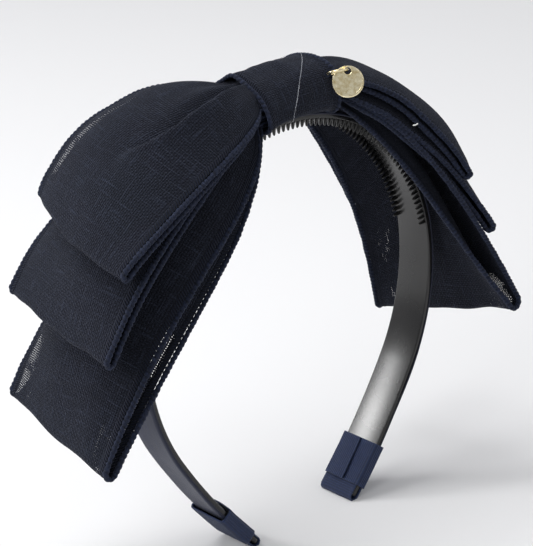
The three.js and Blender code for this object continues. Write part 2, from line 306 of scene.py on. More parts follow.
linenLook = {
    "threadPitch": 0.78,          # mm from thread to thread
    "shade": tone(6, 7, 12),
    "thread": tone(19, 22, 32),
    "slub": tone(52, 58, 74),
    "hem": tone(21, 26, 40),
    "tightGap": 0.14,             # a pinhole's share of the weave's wave
    "looseGap": 0.5,
    "looseFrom": (1.8, 2.6),      # mm from the edge
    "looseTo": (8, 13),
    "looseFade": 10,              # mm
    "hemWidth": 1.7,
    "hemPitch": 0.95,
    "relief": 0.0004,             # m
}


def linenFinish(name, openings=()):
    # openings: loose weave from and to, in mm along the ribbon, and at which edge (-1 front, 1 back)
    look = linenLook
    finish = Finish(name, **{"Roughness": 0.92, "Sheen Weight": 0.16, "Sheen Roughness": 0.45,
                             "Sheen Tint": tone(140, 145, 165), "Specular IOR Level": 0.15})
    _, across, along, depth = finish.clothPlace()
    edge = abs(depth)
    underside = depth < 0
    wobble = finish.noise(finish.joined(across, along, 0.0), 0.35, 2) - 0.5
    pace = math.pi / look["threadPitch"]
    warp = ((across + wobble * 0.7) * pace).sine()
    weft = ((along + wobble * 0.8) * pace).sine()
    crossing = warp * weft
    height = abs(warp) * 0.45 + abs(weft) * 0.45 + crossing * 0.25
    lengthSlub = finish.noise(finish.joined(across * 1.3, along * 0.11, 0.0), 1.0, 2)
    widthSlub = finish.noise(finish.joined(across * 0.11, along * 1.3, 7.0), 1.0, 2)
    slub = lengthSlub.larger(widthSlub).clamped(0.52, 0.8)
    patches = finish.noise(finish.joined(across, along, 0.0), 0.09, 3)
    fuzz = finish.noise(finish.joined(across, along, 0.0), 3.5, 3)
    yarn = finish.blend(height.clamped(0.1, 0.95), look["shade"], look["thread"])
    yarn = finish.blend(slub * 0.45, yarn, look["slub"])
    yarn = finish.blend(fuzz.clamped(0.46, 0.68) * (patches * 0.6 + 0.12), yarn, look["slub"])
    hem = 1 - edge.clamped(look["hemWidth"] - 0.2, look["hemWidth"] + 0.25)
    slant = abs(((along + edge * 0.7) * (math.pi / look["hemPitch"])).sine())
    hemYarn = finish.blend(slant, look["shade"], look["hem"])
    finish.set({"Base Color": finish.blend(hem, yarn, hemYarn)})
    # the weave opens up beside some overlocked edges and lets light through
    loose = 0.0
    for start, stop, side in openings:
        fade = look["looseFade"]
        stretch = along.clamped(start, start + fade) * (1 - along.clamped(stop - fade, stop))
        loose = stretch * ((across * side) > 0) + loose
    zone = edge.clamped(*look["looseFrom"]) * (1 - edge.clamped(*look["looseTo"]))
    zone = zone * patches.clamped(0.34, 0.48) * loose
    gap = zone * (look["looseGap"] - look["tightGap"]) + look["tightGap"]
    pinholes = (abs(warp).larger(abs(weft)) < gap) * (1 - hem)
    # there the lower face gives way, so that the holes in the upper face show right through
    givesWay = underside * (zone > 0.3) * (1 - hem)
    finish.set({"Alpha": 1 - pinholes.larger(givesWay)})
    relief = height * (1 - hem) + slant * hem * 1.6 + slub * 0.5 + fuzz * 0.45
    finish.bump(relief, look["relief"], 1.0)
    return finish.material


def overlockFinish(name):
    finish = Finish(name, **{"Roughness": 0.75, "Sheen Weight": 0.25, "Sheen Roughness": 0.4,
                             "Sheen Tint": tone(125, 135, 165), "Specular IOR Level": 0.2})
    place, around, along, ridge = finish.clothPlace()
    strands = abs((around * 9 + along * 5.2).sine())
    uneven = finish.noise(place, 0.8, 3)
    # painted shade: the thread is painted near black in its hollows and lighter on its ridges
    body = finish.blend(ridge, tone(4, 6, 12), tone(22, 28, 46))
    finish.set({"Base Color": finish.blend(uneven.clamped(0.4, 0.75) * 0.5, body, tone(44, 53, 78))})
    finish.bump(strands + uneven * 0.6, 0.00012, 0.7)
    return finish.material


def satinFinish():
    finish = Finish("navySatin", **{"Anisotropic": 0.55, "Sheen Weight": 0.05, "Specular IOR Level": 0.3})
    place, across, along, edge = finish.clothPlace()
    threads = finish.noise(finish.joined(across * 4.5, along * 0.12, 0.0), 1.0, 2)
    cross = abs((along * 9.5).sine())
    cloudy = finish.noise(place, 0.12, 3)
    silk = finish.blend(threads.clamped(0.3, 0.72), tone(20, 25, 44), tone(33, 39, 63))
    silk = finish.blend(cross * 0.12, silk, tone(60, 68, 96))
    rim = 1 - edge.clamped(0.15, 0.55)
    finish.set({"Base Color": finish.blend(rim * 0.7, silk, tone(14, 19, 38))})
    finish.set({"Roughness": threads * 0.14 + cloudy * 0.16 + 0.36})
    finish.bump(threads + cross * 0.3 + cloudy * 0.5, 0.00008, 0.6)
    return finish.material


ribPitch = 0.82                   # mm from rib to rib of the tip ribbon


def grosgrainFinish():
    finish = Finish("navyGrosgrain", **{"Sheen Weight": 0.1, "Sheen Roughness": 0.35,
                                        "Specular IOR Level": 0.3})
    place, across, along, edge = finish.clothPlace()
    ribs = abs((along * (math.pi / ribPitch)).sine())
    fine = abs((across * 11).sine())
    uneven = finish.noise(place, 0.5, 3)
    # painted shade: the hollows between the ribs are painted darker than their crests
    shadedCord = finish.blend(ribs, tone(8, 15, 36), tone(24, 38, 72))
    shadedCord = finish.blend(fine * 0.25, shadedCord, tone(42, 58, 94))
    picked = 1 - edge.clamped(0.1, 0.7)
    worn = uneven.clamped(0.45, 0.8) * 0.35 + picked * 0.3
    finish.set({"Base Color": finish.blend(worn, shadedCord, tone(46, 62, 98))})
    finish.set({"Roughness": uneven * 0.2 + 0.48})
    finish.bump(fine * 0.6 + uneven + ribs * 0.6, 0.00012, 0.8)
    return finish.material


def plasticFinish():
    finish = Finish("blackGlossPlastic", **{"Specular IOR Level": 0.4, "Coat Weight": 0.2,
                                            "Coat Roughness": 0.2})
    place = finish.objectPlace()
    flow = finish.noise(place, 28, 4)
    grain = finish.noise(place, 900, 2)
    scuffs = finish.noise(place, 160, 5, 0.7).clamped(0.6, 0.78)
    finish.set({"Base Color": finish.blend(flow.clamped(0.35, 0.7), tone(15, 15, 16), tone(27, 26, 25))})
    finish.set({"Roughness": flow * 0.16 + scuffs * 0.12 + 0.2})
    finish.bump(grain * 0.3 + flow, 0.0001, 0.35)
    return finish.material


def goldFinish(name, hammered):
    finish = Finish(name, **{"Metallic": 1.0, "Specular IOR Level": 0.6})
    place = finish.objectPlace()
    dents = finish.noise(place, 760, 3, 0.6)
    hairlines = finish.noise(place, 2600, 3, 0.7)
    # painted reflection: the gold is painted lighter and darker in patches that follow the dents
    paintedReflection = dents.clamped(0.25, 0.7)
    finish.set({"Base Color": finish.blend(paintedReflection, tone(212, 194, 146), tone(250, 240, 206))})
    finish.set({"Roughness": hairlines * 0.16 + 0.12})
    finish.bump(dents * hammered * 0.5 + hairlines * 0.08, 0.0003, 0.6)
    return finish.material


def nylonFinish():
    finish = Finish("clearNylon", **{"IOR": 1.5, "Specular IOR Level": 0.7, "Coat Weight": 0.5})
    shine = finish.noise(finish.objectPlace(), 300, 2)
    # painted glint: the clear thread is painted pale grey to white and made patchily opaque, standing in for
    # its glints
    finish.set({"Base Color": finish.blend(shine, tone(150, 154, 164), tone(226, 230, 238))})
    finish.set({"Roughness": shine * 0.2 + 0.1})
    finish.set({"Alpha": shine * 0.35 + 0.06})
    return finish.material


def whiteThreadFinish():
    finish = Finish("whiteThread", **{"Roughness": 0.6, "Sheen Weight": 0.2})
    twist = finish.noise(finish.objectPlace(), 4000, 2)
    finish.set({"Base Color": finish.blend(twist, tone(206, 206, 204), tone(250, 250, 248))})
    finish.bump(twist, 0.0001, 0.5)
    return finish.material


finishes = {
    "upper": linenFinish("navyLinenUpper", ((205, 255, 1),)),
    "middle": linenFinish("navyLinenMiddle"),
    "lower": linenFinish("navyLinenLower", ((60, 172, 1), (112, 150, -1), (312, 440, 1), (385, 470, -1))),
    "linen": linenFinish("navyLinenKnot"),
    "edging": overlockFinish("navyOverlock"),
    "satin": satinFinish(),
    "grosgrain": grosgrainFinish(),
    "plastic": plasticFinish(),
    "charm": goldFinish("paleGoldCharm", 1.0),
    "ring": goldFinish("paleGoldWire", 0.25),
    "nylon": nylonFinish(),
    "whiteThread": whiteThreadFinish(),
}
print("materials made")


view = {
    "azimuth": -40.77,
    "elevation": 22.24,
    "roll": -2.85,
    "distance": 784,              # mm
    "aim": (-1.5, 4.9, -53.2),
    "lens": 159,
}


def addCamera():
    azimuth, elevation, roll = (math.radians(view[k]) for k in ("azimuth", "elevation", "roll"))
    back = Vector((math.sin(azimuth) * math.cos(elevation), -math.cos(azimuth) * math.cos(elevation),
                   math.sin(elevation)))
    level = Vector((0, 0, 1)).cross(back).normalized()
    right = (level * math.cos(roll) + back.cross(level) * math.sin(roll)).normalized()
    up = back.cross(right)
    data = bpy.data.cameras.new("camera")
    data.lens = view["lens"]
    data.sensor_width = 36
    data.clip_start = 0.01
    camera = bpy.data.objects.new("camera", data)
    place = Vector(((np.array(view["aim"]) + crown) * mm).tolist()) + back * view["distance"] * mm
    camera.matrix_world = Matrix((
        (right.x, up.x, back.x, place.x),
        (right.y, up.y, back.y, place.y),
        (right.z, up.z, back.z, place.z),
        (0, 0, 0, 1)))
    bpy.context.scene.collection.objects.link(camera)
    bpy.context.scene.camera = camera


studio = {
    "world": (0.97, 0.975, 1.0),
    "worldStrength": 0.5,
    "floorShade": tone(226, 226, 227),
    "floorSize": 3.2,             # m
    "lamps": (
        # name, azimuth, elevation, distance m, size m, power W
        ("overhead", -130, 70, 1.1, 0.8, 8),
        ("windowSide", -78, 34, 1.3, 0.7, 4.2),
        ("rightFill", 42, 30, 1.4, 1.0, 2),
        ("behindLeft", -141, 26, 1.2, 0.3, 6),
    ),
}


def addStudio():
    scene = bpy.context.scene
    scene.view_settings.view_transform = "Standard"
    world = bpy.data.worlds.new("studio")
    world.use_nodes = True
    sky = next(n for n in world.node_tree.nodes if n.type == "BACKGROUND")
    sky.inputs[0].default_value = (*studio["world"], 1)
    sky.inputs[1].default_value = studio["worldStrength"]
    scene.world = world

    paper = Finish("palePaper", **{"Roughness": 0.85, "Specular IOR Level": 0.2})
    paper.set({"Base Color": studio["floorShade"]})
    half, count = studio["floorSize"] / 2, 24
    line = np.linspace(-half, half, count) / mm
    x, y = np.meshgrid(line, line, indexing="ij")
    floorPoints = np.stack([x, y, np.zeros_like(x)], -1).reshape(-1, 3) - [0, 0, crown[2] + 0.05]
    floor = toMesh("floor", floorPoints, gridFaces(count, count, flip=True))
    floor.data.materials.append(paper.material)

    for name, azimuth, elevation, distance, size, power in studio["lamps"]:
        lamp = bpy.data.lights.new(name, "AREA")
        lamp.shape = "DISK"
        lamp.size = size
        lamp.energy = power
        a, e = math.radians(azimuth), math.radians(elevation)
        back = Vector((math.sin(a) * math.cos(e), -math.cos(a) * math.cos(e), math.sin(e)))
        holder = bpy.data.objects.new(name, lamp)
        holder.location = Vector((0, 0, 0.09)) + back * distance
        holder.rotation_euler = back.to_track_quat("Z", "Y").to_euler()
        scene.collection.objects.link(holder)


addCamera()
addStudio()
print("camera and light placed")


def bandLine(length):
    # point (x, z) and slope of the inner face at signed lengths from the crown
    length = np.asarray(length, float)
    left, slope = np.abs(length), np.zeros_like(length)
    x, z = np.zeros_like(length), np.zeros_like(length)
    for i, (radius, run) in enumerate(band["arcs"]):
        used = left if i == len(band["arcs"]) - 1 else np.minimum(left, run)
        turned = slope + used / radius
        x = x + radius * (np.sin(turned) - np.sin(slope))
        z = z + radius * (np.cos(turned) - np.cos(slope))
        slope, left = turned, left - used
    side = np.where(length < 0, -1, 1)
    return x * side, z, slope * side


def onBand(across, out, along):
    across, out, along = np.broadcast_arrays(across, out, along)
    x, z, slope = bandLine(along)
    return np.stack([x + out * np.sin(slope), across + 0.0 * x, z + out * np.cos(slope)], -1)


def bandWidth(along):
    return mix(band["crownWidth"], band["tipWidth"], np.minimum(1, np.abs(along) / band["halfLength"]))


comb = {
    "pitch": 2.05,
    "eachSide": 42,
    "rowY": 6.0,
    "rootAcross": 0.95,
    "rootAlong": 0.62,
    "sides": 10,
    # how far a tooth stands out, in mm, and its share of the root's width there
    "levels": ((-0.3, 1.12), (0.25, 1.0), (0.9, 0.86), (1.6, 0.7), (2.15, 0.52), (2.42, 0.3), (2.5, 0.08)),
}


def roundedSection(corner, thickness, count=5):
    # the strip's outline: share of its half-width, offset across and height in mm
    places = []
    for side, height, first in ((1, corner, -90), (1, thickness - corner, 0),
                                (-1, thickness - corner, 90), (-1, corner, 180)):
        for angle in np.radians(np.linspace(first, first + 90, count)):
            places.append((side, corner * (math.cos(angle) - side), height + corner * math.sin(angle)))
    return places


def buildBand():
    section = roundedSection(band["edgeRounding"], band["thickness"])
    along = np.linspace(-band["halfLength"], band["halfLength"], 420)
    rings = np.stack([onBand(share * bandWidth(along) / 2 + offset, height, along)
                      for share, offset, height in section], 1)
    points, faces = tube(rings)
    points, faces = [points], list(faces)
    used = len(points[0])
    corners = np.arange(comb["sides"]) * math.tau / comb["sides"]
    for row in (-1, 1):
        for i in range(-comb["eachSide"], comb["eachSide"]):
            centre = (i + 0.5) * comb["pitch"]
            rings = np.stack([
                onBand(row * comb["rowY"] + comb["rootAcross"] * share * np.cos(corners),
                       -depth,
                       centre + comb["rootAlong"] * share * np.sin(corners))
                for depth, share in comb["levels"]])
            toothPoints, toothFaces = tube(rings)
            points.append(toothPoints)
            faces += [[v + used for v in face] for face in toothFaces]
            used += len(toothPoints)
    made = fixNormals(toMesh("comb_band", np.concatenate(points), faces))
    finishPiece(made, finishes["plastic"], ["band_core"])


satin = {
    "halfLength": 168,
    "widthShare": 1.035,
    "gap": 0.12,
    "thickness": 0.5,
    "wrapDown": 0.5,
    "ripple": 0.05,
    "wander": 0.12,
    "flatWidth": 15.5,
    "columns": 21,
}


def buildSatin():
    along = np.linspace(-satin["halfLength"], satin["halfLength"], 430)[:, None]
    share = np.linspace(-1, 1, satin["columns"])[None, :]
    reach = bandWidth(along) / 2 * satin["widthShare"] * share
    # the glued ribbon dips a little at its edges and is never perfectly flat
    lift = satin["ripple"] * softNoise(reach, along, 9, 3)
    lift = lift - satin["wrapDown"] * smooth(0.93, 1, np.abs(share))
    base = band["thickness"] + satin["gap"]
    wander = satin["wander"] * softNoise(along * 0, along, 16, 4)
    bottom = onBand(reach + wander, base + lift + 0 * along, along + 0 * share)
    top = onBand(reach + wander, base + satin["thickness"] + lift, along + 0 * share)
    edge = (1 - np.abs(share)) * satin["widthShare"] * bandWidth(along) / 2
    made = clothPiece("satin_strip", top, bottom, listed(reach, along, edge))
    finishPiece(made, finishes["satin"], ["satin_cover"])


cap = {
    "foldCover": 14,
    "foldReach": 1.5,
    "foldFlat": (14.8, 36),
    "sleeveEnd": 181.4,
    "sleeveLength": 15.5,
    "sleeveSlack": 0.25,
    "sleeveStart": 0.9,           # across, where the winding sets out on the inner face
    "corner": 0.55,
    # the free end's way over the first turn: place across and height over it
    "flap": ((3.2, 0.6), (1.4, 0.72), (-1.6, 0.76)),
    "flapRise": 0.12,
    "flapSkew": 0.5,
    "cloth": 0.5,
    "gap": 0.2,
    "sag": 0.1,
    "ribHeight": 0.09,
    "foldGrid": (190, 25),
    "sleeveGrid": (330, 30),
}


def ribs(run):
    return cap["ribHeight"] * (np.abs(np.sin(math.pi * run / ribPitch)) - 0.6)


def outwardOf(line):
    heading = unit(np.gradient(line, axis=0))
    return np.stack([heading[:, 1], -heading[:, 0]], 1)


def buildCap(side, label):
    # first a length of ribbon folded over the end of the strip
    thickness = band["thickness"]
    outer = thickness + satin["gap"] + satin["thickness"] + cap["gap"]
    start, end = band["halfLength"] - cap["foldCover"], band["halfLength"] + cap["foldReach"]
    inner = -cap["gap"]
    middle, radius = (outer + inner) / 2, (outer - inner) / 2
    turn = np.radians(np.linspace(-90, 90, 22))
    straight = 60
    line = np.vstack([
        np.stack([np.linspace(start, end - radius, straight), np.full(straight, inner)], 1)[:-1],
        np.stack([end - radius + radius * np.cos(turn), middle + radius * np.sin(turn)], 1),
        np.stack([np.linspace(end - radius, start, straight), np.full(straight, outer)], 1)[1:]])
    rows, columns = cap["foldGrid"]
    line = evenly(line, rows)
    outward, run = outwardOf(line), lengthsAlong(line)
    width = np.linspace(-1, 1, columns)[None, :] * (band["tipWidth"] / 2 - 0.1)
    sag = cap["sag"] * softNoise(width, run[:, None], 6, 11 + side)
    grids = []
    for lift in (cap["cloth"] + ribs(run)[:, None] + sag, sag * 0.3):
        at = line[:, None, :] + outward[:, None, :] * lift[:, :, None]
        grids.append(onBand(width + 0 * at[..., 0], at[..., 1], side * at[..., 0]))
    edge = band["tipWidth"] / 2 - 0.1 - np.abs(width)
    roll = clothPiece(f"{label}_tip_roll", *grids, listed(width, run[:, None], edge))
    finishPiece(roll, finishes["grosgrain"], [f"{label}_tip_fold"])

    # then another wound round both, its free end glued down on the inner face
    foldOut, foldIn = outer + cap["cloth"] + cap["gap"], inner - cap["cloth"] - cap["gap"]
    half, corner = band["tipWidth"] / 2 + cap["sleeveSlack"], cap["corner"]
    outline = [(cap["sleeveStart"], foldIn), (-half + corner, foldIn), (-half, foldIn + corner),
               (-half, foldOut - corner), (-half + corner, foldOut), (half - corner, foldOut),
               (half, foldOut - corner), (half, foldIn + corner), (half - corner, foldIn - cap["flapRise"])]
    outline += [(across, foldIn - height) for across, height in cap["flap"]]
    # a smooth line that cuts the corners a little
    cuts = [(mix(a[0], b[0], share), mix(a[1], b[1], share))
            for a, b in zip(outline, outline[1:]) for share in (0.08, 0.92)]
    rows, columns = cap["sleeveGrid"]
    line = through(cuts, rows)
    outward, run = outwardOf(line), lengthsAlong(line)
    if outward[rows // 2, 1] < 0:
        outward = -outward
    depth = np.linspace(0, 1, columns)[None, :]
    along = cap["sleeveEnd"] - cap["sleeveLength"] * depth
    sag = cap["sag"] * softNoise(along, run[:, None], 7, 21 + side)
    # the free end runs slightly askew
    askew = smooth(run[-1] - 3, run[-1], run)[:, None] * (0.5 - depth) * cap["flapSkew"]
    grids = []
    for lift in (cap["cloth"] + ribs(run)[:, None] + sag, 0.02 + sag * 0.2):
        at = line[:, None, :] + outward[:, None, :] * (lift + 0 * depth)[:, :, None]
        grids.append(onBand(side * (at[..., 0] - askew), at[..., 1], side * (along + 0 * at[..., 0])))
    edge = (0.5 - np.abs(depth - 0.5)) * cap["sleeveLength"]
    winding = clothPiece(f"{label}_tip_winding", *grids, listed(along, run[:, None], edge))
    finishPiece(winding, finishes["grosgrain"], [f"{label}_tip_sleeve"])


buildBand()
buildSatin()
for side, label in ((-1, "left"), (1, "right")):
    buildCap(side, label)
print("band, satin and tips made")


bow = {
    "mouthX": 16.2,
    "gatherHalf": 11.5,
    "openingInKnot": 0.75,
    "mouthShare": 0.14,
    "foldShare": 0.86,
    "cloth": 0.38,
    "hemCloth": 0.75,
    "ribbonHalf": 28.5,
    "columns": 73,
    "ropeRadius": 0.86,
    "ropeRadiusInKnot": 0.4,
    "slackHalf": 28,              # mm that the width and the length of a loop count for in its slackness
    "slackLength": 75,
    "slackDepth": 0.5,
    "waverDepth": 0.7,
}
# Each ribbon has a loop to either side; edges and middle line are Bezier curves from the knot's mouth.
tiers = {
    "upper": {
        "rows": {"front": 9.8, "crest": 14.6, "back": 9.2},
        "left": {
            "front": [[-22, -19.5, 5.3], [-60.5, -26, -3.2], [-84, -28, -19.5]],
            "crest": [[-36, 0, 18.5], [-65, 1, 8.5], [-80.5, 1, -16]],
            "back": [[-27, 25, 19.5], [-60.5, 30, 4.5], [-70, 28, -12]],
        },
        "right": {
            "front": [[29.5, -19, 12.9], [47.5, -23, -9], [61.5, -25, -28.5]],
            "crest": [[28.5, 0, 12], [55.5, 0, 5], [69, 1, -23]],
            "back": [[28, 20, 8.5], [51, 26, -1], [62, 27, -27]],
        },
        "bulge": {"edge": 0.3, "crest": 0.8},
        "fold": {"left": 1.4, "right": 1.3},
        "fan": {"left": 1.0, "right": 0.5},
        "flat": (0.057, 0.355),
    },
    "middle": {
        "rows": {"front": 7.2, "crest": 10.6, "back": 6.6},
        "left": {
            "front": [[-38.5, -18, -1.7], [-72, -26, -15.2], [-92.5, -28, -44]],
            "crest": [[-44, 0, 12.5], [-75.5, 1, -13], [-89.5, 0, -41.5]],
            "back": [[-37, 24, 6.5], [-63.5, 30, -19.5], [-83.8, 28, -39.5]],
        },
        "right": {
            "front": [[26.5, -19, 2.5], [52.5, -23.5, -18], [71, -25.5, -50]],
            "crest": [[34, 0, 9.5], [64, 0, -9], [75, 1, -48]],
            "back": [[31, 19, 1.5], [53, 26, -16], [66.5, 27.5, -54]],
        },
        "bulge": {"edge": 0.3, "crest": 0.3},
        "fold": {"left": 1.4, "right": 1.4},
        "fan": {"left": 1.5, "right": 0.8},
        "flat": (0.057, 0.434),
    },
    "lower": {
        "rows": {"front": 4.9, "crest": 6.8, "back": 4.6},
        "left": {
            "front": [[-18, -17, -20.5], [-66, -26, -36], [-95.4, -28, -79]],
            "crest": [[-42, 0, 7], [-76, 1, -28], [-92, 0, -76.5]],
            "back": [[-32.5, 20, -5.7], [-62, 28, -43.5], [-86.3, 28, -73.4]],
        },
        "right": {
            "front": [[34, -17, -1.2], [55, -22, -34.5], [80.2, -27.5, -79.6]],
            "crest": [[41, 0, 5.6], [70, 0, -25.7], [77, 0, -86]],
            "back": [[33, 18, -13], [62, 27, -45.5], [72.5, 28, -92]],
        },
        "bulge": {"edge": 2.7, "crest": 0.3},
        "fold": {"left": 2.0, "right": 2.5},
        "fan": {"left": 7.2, "right": 1.2},
        "flat": (0.057, 0.545),
    },
}


def bezier(points, t):
    p = np.array(points, float)
    r = 1 - t[..., None]
    s = t[..., None]
    return r ** 3 * p[0] + 3 * r * r * s * p[1] + 3 * r * s * s * p[2] + s ** 3 * p[3]


def middleSurface(tierName, side, t, across):
    # the surface halfway between a loop's two layers: t is 0 at the knot's mouth and 1 at the fold
    tier = tiers[tierName]
    sign = -1 if side == "left" else 1
    rise = np.abs(across) ** 2.6
    shares = {"front": (rise - across) / 2, "crest": 1 - rise, "back": (rise + across) / 2}
    rowY = {"front": -bow["gatherHalf"], "crest": 0, "back": bow["gatherHalf"]}
    point = 0
    for row, share in shares.items():
        start = [sign * bow["mouthX"], rowY[row], tier["rows"][row]]
        line = bezier([start, *tier[side][row]], np.maximum(t, 0))
        line[..., 0] += sign * np.minimum(t, 0) * bow["mouthX"]
        point = point + line * share[..., None]
    return point


def surfaceFrame(tierName, side, t, across):
    step = 0.01
    sign = -1 if side == "left" else 1

    def difference(inT, inAcross):
        return unit(middleSurface(tierName, side, t + inT, across + inAcross)
                    - middleSurface(tierName, side, t - inT, across - inAcross))

    along, width = difference(step, 0), difference(0, step)
    return along, width, unit(np.cross(along, width)) * sign


creases = {
    # a pleat folded in at the knot: its line (share along, place across), how deep it is and where it fades
    "left": {"along": (0, 0.13, 0.26, 0.46, 0.56, 0.64), "across": (-0.31, -0.37, -0.4, -0.35, -0.25, -0.1),
             "depth": 5.2, "width": 0.28, "fade": (0.3, 0.75)},
    "right": {"along": (0, 0.3, 0.6), "across": (0.3, 0.25, 0.1), "depth": 0.9, "width": 0.25,
              "fade": (0.2, 0.5)},
}
creaseShare = {"upper": 1, "middle": 0.4, "lower": 0.25}
gathers = {
    "depth": 0.9,
    "fade": 0.62,
    # share, pleats across the ribbon, how they lean along it, phase
    "waves": ((0.55, 9.5, 0, 0.6), (0.22, 16, 2, 0)),
}


def relief(tierName, side, level, t, across):
    # pleats gathered into the knot, fading out along the loop, and the cloth's own slackness
    seed = {"upper": 1, "middle": 2, "lower": 3}[tierName] + (10 if side == "left" else 0)
    near = 1 - smooth(0.0, gathers["fade"], t)
    inside = smooth(-0.6, 0.05, t)
    wave = sum(np.cos(across * pace + lean * t + phase) * share
               for share, pace, lean, phase in gathers["waves"])
    gathered = wave * near ** 1.6 * inside * gathers["depth"] * (1 - np.abs(across) ** 6)
    slack = softNoise(across * bow["slackHalf"], t * bow["slackLength"], 19, seed) * bow["slackDepth"]
    slack = slack * smooth(0.1, 0.5, t) * (1 - smooth(0.85, 1.05, t) * 0.5)
    crease = creases[side]
    away = across - np.interp(t, crease["along"], crease["across"])
    fold = -np.tanh(away / 0.045) * np.exp(-np.abs(away) / crease["width"])
    strength = crease["depth"] * (1 - smooth(*crease["fade"], t)) * mix(0.45, 1, smooth(0, 0.22, t))
    strength = strength * smooth(-0.35, 0.02, t) * creaseShare[tierName]
    strength = strength * (1 if level > 0 else 0.5)
    fold = np.where(fold > 0, fold * 1.25, fold * 0.75) - 0.5 * np.exp(-(away / 0.05) ** 2)
    return gathered + slack + fold * strength * (1 - np.abs(across) ** 8)


def ribbonPlace(tierName, side, level, outward, across):
    # outward runs from the middle of the knot (0) to the outermost line of the fold (1)
    tier = tiers[tierName]
    mouth, foldStart = bow["mouthShare"], bow["foldShare"]
    t = np.where(outward < mouth, outward / mouth - 1, np.minimum(1, (outward - mouth) / (foldStart - mouth)))
    turn = np.maximum(0, (outward - foldStart) / (1 - foldStart)) * math.pi / 2
    along, width, normal = surfaceFrame(tierName, side, np.minimum(t, 0.99), across)
    wide = mix(tier["bulge"]["crest"], tier["bulge"]["edge"], across ** 2)
    past = np.maximum(t, 0)
    fold = tier["fold"][side]
    # a loop with a wide fold stays open a little longer
    wide = wide + max(0, fold - 2) * smooth(0.3, 1, past) * (1 - smooth(0.9, 1, past))
    reach = mix(bow["openingInKnot"], fold, past) + wide * np.sin(math.pi * past ** 0.8)
    facing = normal * (level * np.cos(turn))[..., None] + along * np.sin(turn)[..., None]
    point = middleSurface(tierName, side, t, across) + facing * reach[..., None]
    point = point + normal * relief(tierName, side, level, t, across)[..., None]
    # between knot and fold the layers spread, the under one towards the front
    point = point + width * (tier["fan"][side] * level / 2 * np.sin(math.pi * past))[..., None]
    # the fold's line wavers a little
    seed = {"upper": 5, "middle": 6, "lower": 7}[tierName] + (side == "left")
    waver = softNoise(across * bow["slackHalf"], 0 * across, 13, seed, 4) * bow["waverDepth"]
    waver = waver * smooth(0.6, 1, t) * (1 - across ** 8)
    return point + along * waver[..., None], facing, width


def beltStations():
    # along one layer: few in the knot, many on the loop and round the fold
    mouth, fold = bow["mouthShare"], bow["foldShare"]
    return np.concatenate([np.linspace(0.01, mouth, 9)[:-1], np.linspace(mouth, fold, 74),
                           np.linspace(fold, 1, 10)[1:]])


def belt(tierName, across):
    # under layer to the right fold, back over the top, over the top to the left fold, and home underneath
    out = beltStations()
    parts = []
    for side, level, outward in (("right", -1, out), ("right", 1, out[::-1][1:]),
                                 ("left", 1, out[1:]), ("left", -1, out[::-1][1:])):
        grid = np.broadcast_arrays(outward[:, None], across[None, :])
        parts.append(ribbonPlace(tierName, side, level, *grid))
    outs = np.concatenate([out, out[::-1][1:], out[1:], out[::-1][1:]])
    return [np.concatenate([p[k] for p in parts]) for k in range(3)] + [outs]


def buildRibbon(tierName):
    across = np.sin(np.linspace(-1, 1, bow["columns"]) * math.pi / 2)
    across = mix(np.linspace(-1, 1, bow["columns"]), across, 0.75)
    centre, facing, _, outs = belt(tierName, across)
    # places on the flat ribbon, from the lengths along each row
    reach = np.cumsum(np.linalg.norm(np.diff(centre, axis=1), axis=2), axis=1)
    reach = np.concatenate([np.zeros((len(centre), 1)), reach], 1)
    flatAcross = (reach / reach[:, -1:] - 0.5) * 2 * bow["ribbonHalf"]
    edge = bow["ribbonHalf"] - np.abs(flatAcross)
    hem = (1 - smooth(1.4, 1.9, edge)) * smooth(0.1, 0.2, outs)[:, None]
    half = mix(bow["cloth"], bow["hemCloth"], hem) / 2
    steps = np.linalg.norm(np.diff(centre, axis=0), axis=2)
    run = np.concatenate([[0], np.cumsum(np.median(steps, axis=1))])[:, None]
    top, bottom = centre + facing * half[..., None], centre - facing * half[..., None]
    made = clothPiece(f"{tierName}_linen", top, bottom, listed(flatAcross, run, edge), under=(1, 1, -1))
    finishPiece(made, finishes[tierName], [f"{tierName}_ribbon"])
    for end, label in ((-1.0, "front"), (1.0, "back")):
        *grids, outs = belt(tierName, np.array([end]))
        line, facing, width = (grid[:, 0] for grid in grids)
        full = smooth(bow["mouthShare"], 0.3, outs)
        radius = mix(bow["ropeRadiusInKnot"], bow["ropeRadius"], full)
        line = line + width * (end * (radius * 0.75 + 0.3))[:, None]
        rope(f"{tierName}_{label}", line, facing, radius)
    return made


overlock = {
    "pitch": 1.6,                 # mm from loop to loop
    "step": 0.27,
    "sides": 12,
    "core": 0.7,                  # share of the radius between two loops
    "ridge": 0.38,
    "uneven": 0.08,
    "unevenSize": 3.2,
}


def rope(edgeName, line, facing, radius):
    # an overlocked edge: a round core wrapped by slanting loops of thread
    name = f"{edgeName}_overlock"
    run, sides = lengthsAlong(line), overlock["sides"]
    at = np.linspace(0, run[-1], int(run[-1] / overlock["step"]))
    line, facing = readAt(at, run, line), readAt(at, run, facing)
    radius = np.interp(at, run, radius)[:, None]
    heading = unit(np.gradient(line, axis=0))
    facing = unit(facing - heading * (facing * heading).sum(1, keepdims=True))
    beside = np.cross(heading, facing)
    angle = np.arange(sides)[None, :] * math.tau / sides
    uneven = softNoise(at * 0, at, overlock["unevenSize"], len(name))[:, None]
    phase = math.pi * at[:, None] / overlock["pitch"] + angle / 2 + 0.35 * uneven
    ridge = np.abs(np.sin(phase)) ** 0.7
    reach = radius * (overlock["core"] + overlock["ridge"] * ridge + overlock["uneven"] * uneven)
    rings = line[:, None] + facing[:, None] * (np.cos(angle) * reach)[..., None]
    rings = rings + beside[:, None] * (np.sin(angle) * reach)[..., None]
    points, faces = tube(rings)
    made = fixNormals(toMesh(name, points, faces, listed(angle, at[:, None], ridge)))
    return finishPiece(made, finishes["edging"], [f"{edgeName}_edging"])


for tierName in tiers:
    buildRibbon(tierName)
print("ribbons made")


